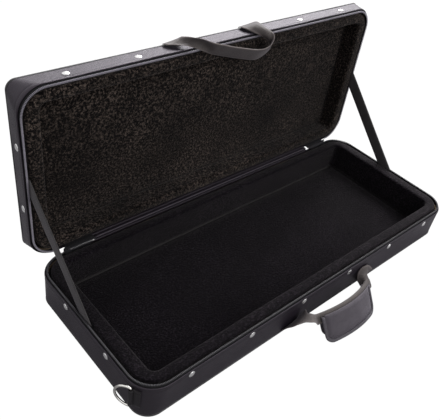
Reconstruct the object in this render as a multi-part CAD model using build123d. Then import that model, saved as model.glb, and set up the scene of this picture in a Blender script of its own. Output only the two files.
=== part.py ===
from build123d import *
import math
import os

# Soft carrying case for a long pedal unit: two foam-lined trays in a nylon cover, a fabric hinge along
# the back, a zip round the other three sides, two webbing stays, two webbing handles and two D-rings.
# Frame: origin at the centre of the underside, +X along the case, -Y towards the handles, +Z up.
# All sizes in millimetres.

# ---- driving dimensions: the case
case_length = 776.0
case_width = 306.0
base_depth = 72.0             # underside to the plane where the two rims meet
lid_depth = 42.0              # outer top to the same plane
rim_corner_radius = 46.0
base_panel_radius = 30.0      # corner radius of the bottom panel
lid_panel_radius = 14.0       # corner radius of the top panel
wall_draft = 3.0              # how far each panel edge lies inside the rim's edge
cavity_length = case_length - 64.0
cavity_width = case_width - 56.0
cavity_radius = 12.0
corner_facets = 8             # flats round each corner of the walls
lid_open_angle = 91.0         # lid's turn from shut to the stays' stop

# ---- driving dimensions: the layers of a wall, from outside in
cover_thickness = 1.6
wall_board_thickness = 3.0
panel_cover_thickness = 2.0
panel_board_thickness = 3.0
base_pad_thickness = 4.0
lid_pad_thickness = 2.0
layer_gap = 0.1               # sewn and glued layers lie this far apart
rim_gap = 0.4                 # each rim stays this far short of the meeting plane
cover_drop = 5.0              # the cover's top edge lies this far below the meeting plane
board_drop = 10.6             # and the wall board's top edge this far
foam_rebate = 8.0             # room outside the foam's rim for the zip
foam_rebate_depth = 12.0
foam_edge_radius = 3.0

# ---- driving dimensions: piping and rivets
piping_radius = 2.0
piping_inset = 0.6
rivet_head_radius = 6.0
rivet_head_height = 2.2
rivet_facets = 10
rivet_drop_base = 15.0        # rivet line below the meeting plane
rivet_drop_lid = 20.0
rivets_long = 6
rivet_pitch_long = (case_length - 166) / (rivets_long - 1)
rivets_short = 2
rivet_pitch_short = (case_width - 194) / (rivets_short - 1)

# ---- driving dimensions: zip
tape_thickness = 1.0
tape_inset = 1.8
tape_bottom = 10.4
coil_width = 3.2
coil_height = 2.6
coil_chamfer = 0.8
base_zip_end = case_length / 2 - 106    # the zip runs round to here along the back edge
lid_zip_end = case_length / 2 - rim_corner_radius    # the lid's half starts beyond the parked sliders
slider_park = case_length / 2 - 58
slider_length = 12.0
slider_plate = 1.3
slider_clearance = 0.3        # between each plate and the coil
slider_front_reach = 4.2      # half height of the outer plate
slider_back_low = 3.8
slider_back_high = 1.5        # the inner plate stays low, clear of the lid's foam
slider_web = 0.5              # runs between the two coils
bridge_width = 2.4
bridge_wire = 1.2
bridge_reach = 5.6
bridge_height = 5.2
pull_bar_radius = 0.8
pull_width = 7.0
pull_length = 33.0
pull_thickness = 1.2
pull_eye = 5.0                # height of the opening round the bridge

# ---- driving dimensions: hinge strip and stays
hinge_out = 0.6               # hinge axis behind the back edge
hinge_below = 1.5             # and below the meeting plane
hinge_half_length = case_length / 2 - 112
hinge_strip_thickness = 1.0
hinge_leg_base = 7.4
hinge_leg_lid = 15.0
hinge_strip_gap = 0.1
stay_width = 25.0
stay_thickness = 1.5
stay_inset = 6.45             # mid-plane, in the channel between zip coil and foam
stay_base_y = 10.0            # where its centre line crosses the base's rim
stay_lid_y = 8.0              # and the lid's, measured with the lid shut
stay_tuck = 11.0              # how far each end goes down into its channel

# ---- driving dimensions: handles
web_width = 38.0
web_thickness = 1.6
web_fold = 3.5                # half width of the crown where the webbing is folded in the grip
web_seam = 1.7 - case_width / 2      # where the lower handle leaves the front wall
grip_crown = (14.0, web_seam - 44.7, 51.0)    # front of the crown, at the middle of the grip
grip_lean = 32.0              # the grip's lean from upright
grip_length = 134.0
grip_bow = 14.0               # how far the middle stands out from the ends
grip_front_height = 53.0
grip_back_height = 44.5
grip_flap_drop = 1.5          # the flaps start this far below the crown
grip_flap_thickness = 3.0
grip_corner_radius = 16.0
grip_gap = 0.8                # between the folded webbing and each flap
grip_binding_width = 6.0
grip_binding_thickness = 3.8
grip_patch_length = 96.0
grip_patch_height = 20.0
grip_patch_thickness = 1.0

# ---- driving dimensions: D-rings
ring_wire_radius = 2.0
ring_half_height = 22.0
ring_corner_radius = 3.0
ring_height = 39.5            # above the underside
ring_bar_y = -(case_width / 2 - 30)
ring_bar_out = 4.4            # bar's centre line outside the wall
ring_swing = 28.5             # rest angle out from the end wall
tab_height = 38.0
tab_length = 13.0
tab_ply = 1.6                 # two plies of webbing
tab_gap = 0.2
tab_eye_clearance = 0.25

hinge_axis = Axis((0, case_width / 2 + hinge_out, base_depth - hinge_below), (1, 0, 0))


def turned_lid(shape):
    """The lid is drawn shut and then turned open about the hinge axis."""
    return shape.rotate(hinge_axis, -lid_open_angle)


def polygon_face(corners):
    return Face(Wire.make_polygon(corners, close=True))


def faceted(sections, twisted=True):
    """A closed solid through matching sections; where it twists, its sides are split into triangles."""
    faces = [polygon_face(sections[0]), polygon_face(sections[-1])]
    count = len(sections[0])
    for near, far in zip(sections, sections[1:]):
        for i in range(count):
            j = (i + 1) % count
            if twisted:
                faces.append(polygon_face([near[i], near[j], far[j]]))
                faces.append(polygon_face([near[i], far[j], far[i]]))
            else:
                faces.append(polygon_face([near[i], near[j], far[j], far[i]]))
    return Solid(Shell(faces))


def rounded_outline(length, width, radius, z):
    """Corners of a rectangle at height z whose corners turn in corner_facets equal flats."""
    points = []
    for turn, (sx, sy) in enumerate(((1, 1), (-1, 1), (-1, -1), (1, -1))):
        x, y = sx * (length / 2 - radius), sy * (width / 2 - radius)
        for i in range(corner_facets + 1):
            angle = math.radians(90 * (turn + i / corner_facets))
            points.append(Vector(x + radius * math.cos(angle), y + radius * math.sin(angle), z))
    return points


class Tray:
    """One half of the case, drawn with its rim plane at z = 0 and its panel below."""

    def __init__(self, depth, panel_radius, pad_thickness, rivet_drop, hinge_side, zip_end):
        self.depth = depth
        self.panel_radius = panel_radius
        self.pad_thickness = pad_thickness
        self.rivet_drop = rivet_drop
        self.hinge_side = hinge_side
        self.zip_end = zip_end
        self.floor = -depth + panel_cover_thickness + panel_board_thickness + 2 * layer_gap

    def share(self, z):
        """0 at the rim plane, 1 at the panel's outer face."""
        return -z / self.depth

    def outline(self, z, inset):
        """The wall's outline at height z, moved inwards by inset."""
        share = self.share(z)
        shrink = 2 * (wall_draft * share + inset)
        radius = rim_corner_radius + (self.panel_radius - rim_corner_radius) * share - inset
        return rounded_outline(case_length - shrink, case_width - shrink, radius, z)

    def block(self, low, high, inset):
        return faceted([self.outline(low, inset), self.outline(high, inset)], twisted=False)

    def ring(self, low, high, inset, thickness):
        return self.block(low, high, inset) - self.block(low - 1, high + 1, inset + thickness)

    def cover(self):
        low = -self.depth + 2 * piping_radius + 2 * layer_gap
        return self.ring(low, -cover_drop, 0, cover_thickness)

    def wall_board(self):
        inset = cover_thickness + layer_gap
        return self.ring(self.floor, -board_drop, inset, wall_board_thickness)

    def panel_cover(self):
        inset = 2 * piping_radius - piping_inset
        return self.block(-self.depth, -self.depth + panel_cover_thickness, inset)

    def panel_board(self):
        low = -self.depth + panel_cover_thickness + layer_gap
        return self.block(low, low + panel_board_thickness, 2 * piping_radius - piping_inset)

    def piping(self):
        """A corded edge that runs round the panel, its underside a little above the panel's."""
        centre = -self.depth + piping_radius + 3 * layer_gap
        path = Wire.make_polygon(self.outline(centre, piping_radius - 2 * piping_inset + layer_gap), close=True)
        section = Plane(origin=path @ 0, z_dir=path % 0) * RegularPolygon(piping_radius - layer_gap, 8)
        return sweep(section, path=path, transition=Transition.RIGHT)

    def pad(self):
        inset = cover_thickness + wall_board_thickness + 2 * layer_gap
        return self.block(self.floor + layer_gap, self.floor + self.pad_thickness, inset)

    def foam_frame(self):
        low = self.floor + self.pad_thickness + layer_gap
        high = -rim_gap - layer_gap
        shelf = high - foam_rebate_depth
        inset = cover_thickness + wall_board_thickness + 2 * layer_gap
        # the rim's rounded edges turn in two flats, outside and inside
        steps = [(foam_edge_radius, 0.0), (0.3 * foam_edge_radius, 0.3 * foam_edge_radius)]
        steps.append((0.0, foam_edge_radius))
        outer, inner = [], []
        for drop, back in steps:
            z = high - drop
            outer.append(self.rim_outline(z, foam_rebate + back))
            inner.append(
                Pos(0, 0, z) * RectangleRounded(
                    cavity_length + 2 * back, cavity_width + 2 * back, cavity_radius + back
                )
            )
        body = self.block(low, shelf, inset)
        body += faceted([self.rim_outline(shelf, foam_rebate)] + outer, twisted=False)
        body -= extrude(Pos(0, 0, low) * RectangleRounded(cavity_length, cavity_width, cavity_radius), high - low)
        return body - loft(inner, ruled=True)

    def rim_outline(self, z, inset):
        """The outline at the rim, without the wall's draft."""
        return rounded_outline(case_length - 2 * inset, case_width - 2 * inset, rim_corner_radius - inset, z)

    def zip_cut(self):
        """Clears the hinge's stretch of the back edge, where there is no zip."""
        reach = 30.0
        return Pos(0, self.hinge_side * (case_width / 2 - reach / 2 + 1), 0) * Box(
            2 * self.zip_end, reach, 2 * self.depth
        )

    def zip_tape(self):
        high = -rim_gap - coil_height - layer_gap
        return self.ring(-tape_bottom, high, tape_inset, tape_thickness) - self.zip_cut()

    def zip_coil(self):
        """One half of the zip: a bead of coil on the edge of its tape."""
        low, high = -rim_gap - coil_height, -rim_gap
        middle = high - coil_chamfer
        ring = self.ring(low, middle, tape_inset, coil_width)
        top = [self.outline(middle, tape_inset), self.outline(high, tape_inset + coil_chamfer)]
        far = tape_inset + coil_width
        hole = [self.outline(middle, far), self.outline(high, far - coil_chamfer)]
        ring += faceted(top, twisted=False) - faceted(hole, twisted=False)
        return ring - self.zip_cut()

    def rivet_places(self):
        """Places on the wall's outer face, with +Z of each pointing straight out of the wall."""
        share = self.share(-self.rivet_drop)
        lean = math.degrees(math.atan2(wall_draft, self.depth))
        half_width = case_width / 2 - wall_draft * share
        half_length = case_length / 2 - wall_draft * share
        places = []
        for side in (1, -1):
            for i in range(rivets_long):
                x = (i - (rivets_long - 1) / 2) * rivet_pitch_long
                places.append(Pos(x, side * half_width, -self.rivet_drop) * Rot(-side * (90 + lean), 0, 0))
            for i in range(rivets_short):
                y = (i - (rivets_short - 1) / 2) * rivet_pitch_short
                places.append(Pos(side * half_length, y, -self.rivet_drop) * Rot(0, side * (90 + lean), 0))
        return places

    def rivets(self):
        """Domed heads, each in two rings of flats, seated on the cover."""
        rings = [(1.0, 0.0), (0.78, 0.55), (0.34, 1.0)]
        sections = []
        for share, rise in rings:
            z = layer_gap + rise * rivet_head_height
            r = share * rivet_head_radius
            turns = [math.radians(360 * i / rivet_facets) for i in range(rivet_facets)]
            sections.append([Vector(r * math.cos(a), r * math.sin(a), z) for a in turns])
        rivet = faceted(sections)
        return [place * rivet for place in self.rivet_places()]


def hinge_strip():
    """Fabric strip that joins the two back walls, drawn with the lid open."""
    back = case_width / 2 + hinge_strip_gap
    top = base_depth - hinge_below + hinge_strip_gap + hinge_strip_thickness / 2 - 0.2
    profile = Polyline(
        [
            (back, top),
            (back + hinge_leg_lid, top),
            (back + hinge_leg_lid, top - hinge_strip_thickness),
            (back + hinge_strip_thickness, top - hinge_strip_thickness),
            (back + hinge_strip_thickness, top - hinge_leg_base),
            (back, top - hinge_leg_base),
        ],
        close=True,
    )
    face = Plane.YZ * make_face(profile)
    return Pos(-hinge_half_length, 0, 0) * extrude(face, 2 * hinge_half_length)


def lid_point(y, z):
    """Where a point of the shut lid lies once the lid is open."""
    turn = math.radians(-lid_open_angle)
    out = y - case_width / 2 - hinge_out
    up = z - base_depth + hinge_below
    y_open = case_width / 2 + hinge_out + out * math.cos(turn) - up * math.sin(turn)
    z_open = base_depth - hinge_below + out * math.sin(turn) + up * math.cos(turn)
    return y_open, z_open


def stay_strap(side):
    """A straight webbing stay that holds the lid from falling back."""
    base_y, base_z = stay_base_y, base_depth
    lid_y, lid_z = lid_point(stay_lid_y, base_depth)
    slope = (lid_z - base_z) / (lid_y - base_y)
    angle = math.atan(slope)
    flat = stay_width / 2 / math.sin(angle)
    steep = stay_width / 2 / math.cos(angle)
    low = base_z - stay_tuck
    far = lid_y + stay_tuck
    y_low = base_y - stay_tuck / slope
    z_far = lid_z + stay_tuck * slope
    profile = Polyline(
        [(y_low - flat, low), (y_low + flat, low), (far, z_far - steep), (far, z_far + steep)], close=True
    )
    face = Plane.YZ * make_face(profile)
    middle = side * (case_length / 2 - stay_inset)
    return Pos(middle - stay_thickness / 2, 0, 0) * extrude(face, stay_thickness)


# ---- webbing: stations (centre, direction across, fold at each of the three inner lines in degrees)
grip_place = Plane(
    origin=grip_crown,
    x_dir=(1, 0, 0),
    z_dir=(0, math.sin(math.radians(grip_lean)), math.cos(math.radians(grip_lean))),
)
grip_radius = ((grip_length / 2) ** 2 + grip_bow**2) / (2 * grip_bow)
crown_rise = 3.0
crown_back = 4.0


def grip_station(u):
    """A place on the bowed crown, u along the grip from its middle, where the webbing is folded."""
    back = grip_radius - math.sqrt(grip_radius**2 - u * u) + crown_back
    turn = math.asin(u / grip_radius)
    centre = grip_place.from_local_coords(Vector(u, back, crown_rise))
    along = grip_place.x_dir * math.cos(turn) + grip_place.y_dir * math.sin(turn)
    return tuple(centre), tuple(grip_place.y_dir), 60, tuple(along)


base_web_stations = [
    ((-84, web_seam, 4.9), (1, 0, 0), 0),
    ((-84, web_seam - 4.2, 17), (0.98, 0.15, -0.1), 0),
    ((-79, web_seam - 11.2, 30), (0.85, 0.45, -0.3), 0),
    ((-72, web_seam - 16.7, 41), (0.6, 0.68, -0.42), 0),
    ((-66, web_seam - 23.2, 47.5), (0.3, 0.8, -0.5), 20),
    grip_station(-68),
    grip_station(-44),
    grip_station(-22),
    grip_station(0),
    grip_station(22),
    grip_station(44),
    grip_station(68),
    ((94, web_seam - 23.2, 42), (0.1, 0.75, 0.2), 20),
    ((105, web_seam - 15.7, 35), (0.2, 0.45, 0.85), 0),
    ((115, web_seam - 9.7, 24), (0.6, 0.2, 0.75), 0),
    ((124, web_seam - 4.7, 14), (0.9, 0.05, 0.35), 0),
    ((128, web_seam, 4.9), (1, 0, 0), 0),
]
# the upper handle's places are measured from its seam on the open lid
lid_seam = lid_point(0.427 - case_width / 2, base_depth + lid_depth - 1.837)
lid_web_stations = [
    ((x, lid_seam[0] + out, lid_seam[1] + up), across, 0)
    for x, out, up, across in (
        (-105, 0, 0, (1, 0, 0)),
        (-104, -9.6, 8.1, (0.97, 0.2, 0)),
        (-98, -23.6, 11.6, (0.92, 0.38, 0)),
        (-87, -38, 11.5, (0.9, 0.42, 0.05)),
        (-72, -49.6, 9.6, (0.75, 0.45, 0)),
        (-52, -55.1, 1.6, (0.4, -0.45, 0.7)),
        (-30, -56.1, -7.4, (0.3, -0.63, 0.7)),
        (-2, -56.6, -15.4, (0.22, -0.66, 0.73)),
        (26, -57.1, -22.4, (0.12, -0.66, 0.73)),
        (48, -57.6, -23.9, (-0.05, -0.62, 0.8)),
        (62, -59.1, -15.9, (-0.25, -0.6, 0.75)),
        (67.5, -58.9, -4.4, (0.1, -0.5, 0.7)),
        (67, -52, 4.6, (0.88, 0.1, 0.25)),
        (64, -34, 9.6, (0.96, 0.1, 0.1)),
        (61.5, -13.6, 8.1, (1, 0, 0)),
        (60.5, 0, 0, (1, 0, 0)),
    )
]


def web_outline(fold):
    """The webbing's section: flat at fold 0, an upturned channel at fold 60."""
    leg = web_width / 2 - web_fold - (web_width / 4 - web_fold) * (60 - fold) / 60
    crown = web_width / 2 - leg
    bend = math.radians(fold)
    angles = [1.5 * bend, 0.5 * bend, -0.5 * bend, -1.5 * bend]
    points = [(0.0, 0.0)]
    for length, angle in zip((leg, crown, crown, leg), angles):
        x, y = points[-1]
        points.append((x + length * math.cos(angle), y + length * math.sin(angle)))
    middle = points[2]
    points = [(x - middle[0], y - middle[1]) for x, y in points]
    half = web_thickness / 2
    outer, inner = [], []
    for i, (x, y) in enumerate(points):
        before = angles[max(i - 1, 0)]
        after = angles[min(i, 3)]
        mean = (before + after) / 2
        reach = half / math.cos((before - after) / 2)
        outer.append((x - reach * math.sin(mean), y + reach * math.cos(mean)))
        inner.append((x + reach * math.sin(mean), y - reach * math.cos(mean)))
    return outer + inner[::-1]


def webbing(stations, first_along, last_along):
    """A strip through its stations, each section square to the way the strip runs."""
    centres = [Vector(*station[0]) for station in stations]
    sections = []
    for i, (centre, across, fold, *direction) in enumerate(stations):
        if direction:
            along = Vector(*direction[0])
        elif i == 0:
            along = Vector(*first_along)
        elif i == len(stations) - 1:
            along = Vector(*last_along)
        else:
            along = centres[i + 1] - centres[i - 1]
        along = along.normalized()
        across = Vector(*across)
        across = (across - along * across.dot(along)).normalized()
        place = Plane(origin=centres[i], x_dir=across, z_dir=along)
        sections.append([place.from_local_coords(Vector(x, y)) for x, y in web_outline(fold)])
    return faceted(sections)


def grip_band(front, thickness, low, high):
    """A bowed plate in the grip's frame: front face at front, from low to high below the crown."""
    centre = grip_radius
    outer = Circle(grip_radius - front)
    inner = Circle(grip_radius - front - thickness)
    band = Pos(0, centre) * (outer - inner)
    window = Pos(0, centre / 2 - 20) * Rectangle(2 * grip_length, centre + 20)
    return extrude(grip_place.offset(low) * (band & window), high - low)


def grip_outline(height, inset, deep=60.0):
    """Cuts a flap to its length and rounds its two lower corners."""
    half = grip_length / 2 - inset
    top = -grip_flap_drop
    low = top - height + inset
    radius = grip_corner_radius - inset
    middle = (top + low) / 2
    face = RectangleRounded(2 * half, (top - low) + 2 * radius, radius)
    face = Pos(0, middle + radius) * face
    face &= Pos(0, middle) * Rectangle(2 * half + 2, top - low)
    plane = Plane(origin=grip_place.origin, x_dir=(1, 0, 0), z_dir=-grip_place.y_dir)
    return extrude(plane.offset(-deep) * face, 2 * deep)


def grip_faces():
    """Where the front and back flaps lie against the folded webbing."""
    half = web_fold * math.cos(math.radians(30)) + web_thickness / 2 + grip_gap
    return crown_back - half, crown_back + half


def grip_flap(height, face, side):
    """One padded flap and its bound edge; face is where it lies against the webbing."""
    top, low = -grip_flap_drop, -grip_flap_drop - height
    near = face - grip_flap_thickness if side < 0 else face
    core = grip_outline(height, grip_binding_width + layer_gap)
    flap = grip_band(near, grip_flap_thickness, low, top) & core
    near = face - grip_binding_thickness if side < 0 else face
    rim = grip_outline(height, 0) - grip_outline(height, grip_binding_width)
    return flap, grip_band(near, grip_binding_thickness, low, top) & rim


def grip_flaps():
    front, back = grip_faces()
    front_flap, front_binding = grip_flap(grip_front_height, front, -1)
    back_flap, back_binding = grip_flap(grip_back_height, back, 1)
    low = -grip_flap_drop - grip_back_height + grip_binding_width + 2
    high = low + grip_patch_height
    patch = grip_place.location * Box(grip_patch_length, 200, 200)
    far = back - layer_gap - grip_patch_thickness
    return {
        "grip_front_flap": front_flap,
        "grip_back_flap": back_flap,
        "grip_binding": front_binding + back_binding,
        "grip_hook_strip": grip_band(front + layer_gap, grip_patch_thickness, low, high) & patch,
        "grip_loop_strip": grip_band(far, grip_patch_thickness, low, high) & patch,
    }


def ring_bar(side, tray):
    """Centre line of the D-ring's straight bar, outside the rounded corner of the end wall."""
    z = ring_height - base_depth
    share = tray.share(z)
    radius = rim_corner_radius + (base_panel_radius - rim_corner_radius) * share
    centre_x = case_length / 2 - wall_draft * share - radius
    centre_y = -(case_width / 2 - wall_draft * share - radius)
    reach = radius + ring_bar_out
    x = centre_x + math.sqrt(reach**2 - (ring_bar_y - centre_y) ** 2)
    return side * x, ring_bar_y


def d_ring(side, tray):
    x, y = ring_bar(side, tray)
    straight = ring_half_height - ring_corner_radius
    r = ring_corner_radius
    path = Wire(
        [
            Line((0, -straight), (0, straight)),
            RadiusArc((0, straight), (r, ring_half_height), r),
            ThreePointArc((r, ring_half_height), (r + ring_half_height, 0), (r, -ring_half_height)),
            RadiusArc((r, -ring_half_height), (0, -straight), r),
        ]
    )
    swing = math.radians(ring_swing)
    out = (side * math.sin(swing), math.cos(swing), 0)
    place = Plane(origin=(x, y, ring_height), x_dir=out, z_dir=(out[1], -out[0], 0))
    path = place * path
    section = Plane(origin=path @ 0, z_dir=path % 0) * RegularPolygon(ring_wire_radius, 8)
    return sweep(section, path=path)


def d_ring_tab(side, tray):
    """A doubled webbing tab that follows the corner and loops round the ring's bar."""
    x, y = ring_bar(side, tray)
    low = ring_height - tab_height / 2
    thickness = 2 * tab_ply
    body = Pos(0, 0, base_depth) * tray.ring(
        low - base_depth, low + tab_height - base_depth, -thickness - tab_gap, thickness
    )
    body &= Pos(side * case_length / 2, y - tab_length / 2, base_depth / 2) * Box(200, tab_length, base_depth)
    eye = ring_wire_radius + tab_eye_clearance
    body += Pos(x, y, ring_height) * Cylinder(eye + tab_ply, tab_height)
    return body - Pos(x, y, ring_height) * Cylinder(eye, tab_height + 2)


def slider_frame(side):
    """Origin on the meeting plane at the zip's outer face, +Y outwards."""
    return Pos(side * slider_park, case_width / 2 - tape_inset, base_depth)


def bridge_centre():
    return slider_clearance + slider_plate + bridge_reach / 2, -slider_front_reach + bridge_height / 2 + 1.2


def zip_slider(side):
    front = slider_clearance
    back = -coil_width - slider_clearance - slider_plate
    body = Pos(0, front + slider_plate / 2, 0) * Box(slider_length, slider_plate, 2 * slider_front_reach)
    body += Pos(0, back + slider_plate / 2, (slider_back_high - slider_back_low) / 2) * Box(
        slider_length, slider_plate, slider_back_low + slider_back_high
    )
    body += Pos(0, (front + back + slider_plate) / 2, 0) * Box(
        slider_length * 0.6, front - back - slider_plate + 0.4, slider_web
    )
    y, z = bridge_centre()
    bridge = Box(bridge_width, bridge_reach, bridge_height) - Pos(0, -bridge_wire / 2, 0) * Box(
        bridge_width + 2, bridge_reach - bridge_wire, bridge_height - 2 * bridge_wire
    )
    body += Pos(0, y, z) * bridge
    return slider_frame(side) * body


def zip_pull(side):
    y, z = bridge_centre()
    eye_width = bridge_width + 1.6
    plate = Rectangle(pull_width, pull_length) - Pos(0, pull_length / 2 - pull_eye / 2 - 0.8) * Rectangle(
        eye_width, pull_eye
    )
    plate = Pos(0, -pull_length / 2 + pull_bar_radius) * plate
    body = Plane.XZ * extrude(plate, pull_thickness / 2, both=True)
    body = chamfer(body.edges().filter_by(Axis.Y).sort_by(Axis.Z)[:2], 2.0)
    body += Rot(0, 90, 0) * Cylinder(pull_bar_radius, pull_width)
    return slider_frame(side) * (Pos(0, y + 0.2, z) * body)


def parts():
    base = Tray(base_depth, base_panel_radius, base_pad_thickness, rivet_drop_base, 1, base_zip_end)
    lid = Tray(lid_depth, lid_panel_radius, lid_pad_thickness, rivet_drop_lid, -1, lid_zip_end)
    made = {}
    for name, tray in (("base", base), ("lid", lid)):
        panel = "bottom" if tray is base else "top"
        pieces = {
            name + "_cover": tray.cover(),
            name + "_wall_board": tray.wall_board(),
            panel + "_cover": tray.panel_cover(),
            panel + "_board": tray.panel_board(),
            name + "_piping": tray.piping(),
            name + "_pad": tray.pad(),
            name + "_foam_frame": tray.foam_frame(),
            name + "_zip_tape": tray.zip_tape(),
            name + "_zip_coil": tray.zip_coil(),
            name + "_rivets": tray.rivets(),
        }
        for key, piece in pieces.items():
            group = Compound(piece) if isinstance(piece, list) else piece
            if tray is base:
                made[key] = Pos(0, 0, base_depth) * group
            else:
                made[key] = turned_lid(Pos(0, 0, base_depth) * Rot(180, 0, 0) * group)
    made["hinge_strip"] = hinge_strip()
    made["base_handle"] = webbing(base_web_stations, (0, 0, 1), (0, 0, -1))
    made["lid_handle"] = webbing(lid_web_stations, (0, -0.7, 0.7), (0, 0.7, -0.7))
    made.update(grip_flaps())
    for side, word in ((-1, "left"), (1, "right")):
        made["stay_strap_" + word] = stay_strap(side)
        made["d_ring_" + word] = d_ring(side, base)
        made["d_ring_tab_" + word] = d_ring_tab(side, base)
        made["zip_slider_" + word] = zip_slider(side)
        made["zip_pull_" + word] = zip_pull(side)
    return made


os.makedirs("parts", exist_ok=True)
for name, shape in parts().items():
    export_step(shape, f"parts/{name}.step")
    box = shape.bounding_box()
    print(name, len(shape.solids()), shape.is_valid, [round(v, 1) for v in (*box.min, *box.max)])
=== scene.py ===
"""Looks of a long soft pedal case that lies open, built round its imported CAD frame.

Lengths are in metres in the frame's own axes: +X along the case, -Y towards the carry handles, +Z up. What is drawn
in millimetres says so.
"""

import logging
import math
from dataclasses import astuple, dataclass, replace
from enum import Enum
from typing import Callable, Optional, Sequence

import bmesh
import bpy
from bmesh.types import BMEdge, BMesh, BMVert
from bpy.types import ID, Material, Mesh, Node, NodeSocket, Object
from mathutils import Matrix, Vector, noise

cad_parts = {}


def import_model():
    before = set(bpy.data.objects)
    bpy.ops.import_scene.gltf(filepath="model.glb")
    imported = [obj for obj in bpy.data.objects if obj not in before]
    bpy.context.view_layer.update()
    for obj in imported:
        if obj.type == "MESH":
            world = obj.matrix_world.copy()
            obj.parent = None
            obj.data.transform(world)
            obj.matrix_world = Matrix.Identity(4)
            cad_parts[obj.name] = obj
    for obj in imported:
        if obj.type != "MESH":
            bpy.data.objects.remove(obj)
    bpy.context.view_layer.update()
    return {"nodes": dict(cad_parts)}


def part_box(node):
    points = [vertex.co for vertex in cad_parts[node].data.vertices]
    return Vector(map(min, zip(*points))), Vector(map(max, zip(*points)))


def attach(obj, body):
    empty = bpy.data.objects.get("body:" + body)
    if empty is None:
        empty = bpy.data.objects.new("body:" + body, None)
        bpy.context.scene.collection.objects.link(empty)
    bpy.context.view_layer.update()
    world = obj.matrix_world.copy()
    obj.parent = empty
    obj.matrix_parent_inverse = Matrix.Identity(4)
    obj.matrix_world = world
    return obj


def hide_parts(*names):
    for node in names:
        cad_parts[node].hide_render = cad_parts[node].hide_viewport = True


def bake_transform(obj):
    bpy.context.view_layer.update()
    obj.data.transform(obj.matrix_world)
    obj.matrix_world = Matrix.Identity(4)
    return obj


log = logging.getLogger("pedal_case")

Point = tuple[float, float, float]
Colour = tuple[float, float, float]
Frame = tuple[Vector, Vector, Vector, float]
MM = 0.001
TINY = 1e-6
BASE_DEPTH = 72 * MM
LID_DEPTH = 42 * MM
HINGE = (0.0, 153.6 * MM, 70.5 * MM)
OPEN_DEGREES = 91.0
TOOTH_PITCH = 2.1 * MM
LEAST_RADIUS = 2 * MM
CHANNEL_DEGREES = 60.0


# --- finishes


def tinted(colour: Colour, factor: float, lift: float = 0.0) -> Colour:
    """A colour made darker or lighter."""
    return tuple(min(1.0, factor * part + lift) for part in colour)


class Weave(Enum):
    """The ways that a cloth's threads cross: how much longer than wide each crossing is."""

    PLAIN = 1.0
    RIB = 2.4


class NodeTable:
    """The node tree of a material or of the world, with short calls for the nodes that the finishes share."""

    def __init__(self, owner: ID, output: str = "OutputMaterial") -> None:
        """Empties the owner's node tree, but for one output node."""
        owner.use_nodes = True
        self.owner = owner
        self.tree = owner.node_tree
        self.tree.nodes.clear()
        self.output = self.node(output)

    def node(self, kind: str, settings: Optional[dict] = None, **inputs) -> Node:
        """Adds a node.

        Args:
            kind: The node's type, without its ShaderNode prefix.
            settings: The node's own properties.
            **inputs: A value or a socket for each input, its spaces written as underscores.

        Returns:
            The new node.
        """
        made = self.tree.nodes.new("ShaderNode" + kind)
        for key, value in (settings or {}).items():
            setattr(made, key, value)
        for key, value in inputs.items():
            self.feed(made.inputs[key.replace("_", " ")], value)
        return made

    def feed(self, socket: NodeSocket, value) -> None:
        """Links a socket to another, or sets its value."""
        if isinstance(value, NodeSocket):
            self.tree.links.new(value, socket)
        else:
            socket.default_value = value

    def sum(self, operation: str, first, second=None) -> NodeSocket:
        """A Math node's result, from numbers or sockets."""
        made = self.node("Math", {"operation": operation})
        self.feed(made.inputs[0], first)
        if second is not None:
            self.feed(made.inputs[1], second)
        return made.outputs[0]

    def mix(self, share, first, second) -> NodeSocket:
        """A colour between two colours."""
        made = self.node("Mix", {"data_type": "RGBA"})
        self.feed(made.inputs[0], share)
        for socket, value in ((made.inputs[6], first), (made.inputs[7], second)):
            self.feed(socket, value if isinstance(value, NodeSocket) else (*value, 1.0))
        return made.outputs[2]

    def ramp(self, share, low: float, high: float) -> NodeSocket:
        """A share stretched so that low gives 0 and high gives 1."""
        return self.node("MapRange", Value=share, From_Min=low, From_Max=high).outputs[0]

    def cloud(self, scale: float, detail: float = 2.0, rough: float = 0.5) -> NodeSocket:
        """A soft noise at a number of grains per metre."""
        place = self.node("TexCoord").outputs["Object"]
        return self.node("TexNoise", Vector=place, Scale=scale, Detail=detail, Roughness=rough).outputs[0]

    def bump(self, height, distance: float, under=None) -> NodeSocket:
        """A normal bumped by a height from 0 to 1, distance metres at most."""
        made = self.node("Bump", Strength=1.0, Distance=distance, Height=height)
        if under is not None:
            self.feed(made.inputs["Normal"], under)
        return made.outputs[0]

    def shade(self, colour, **sockets) -> Material:
        """Ends the tree in a Principled shader.

        Args:
            colour: The base colour, as a socket or three numbers.
            **sockets: The shader's other inputs.

        Returns:
            The finished material.
        """
        is_socket = isinstance(colour, NodeSocket)
        shader = self.node("BsdfPrincipled", Base_Color=colour if is_socket else (*colour, 1.0), **sockets)
        self.feed(self.output.inputs[0], shader.outputs[0])
        return self.owner

    def pale(self, shown: float, mirrored: float) -> NodeSocket:
        """How far a surface is drawn plain white: shown for camera rays, mirrored for glossy ones, else 0."""
        rays = self.node("LightPath").outputs
        return self.sum("ADD", self.sum("MULTIPLY", rays["Is Camera Ray"], shown),
                        self.sum("MULTIPLY", rays["Is Glossy Ray"], mirrored))

    def blend(self, share: NodeSocket, first: Node, second: Node) -> None:
        """Ends the tree in a mix of two shaders."""
        mixed = self.node("MixShader")
        for socket, value in zip(mixed.inputs, (share, first.outputs[0], second.outputs[0])):
            self.feed(socket, value)
        self.feed(self.output.inputs[0], mixed.outputs[0])


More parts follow.
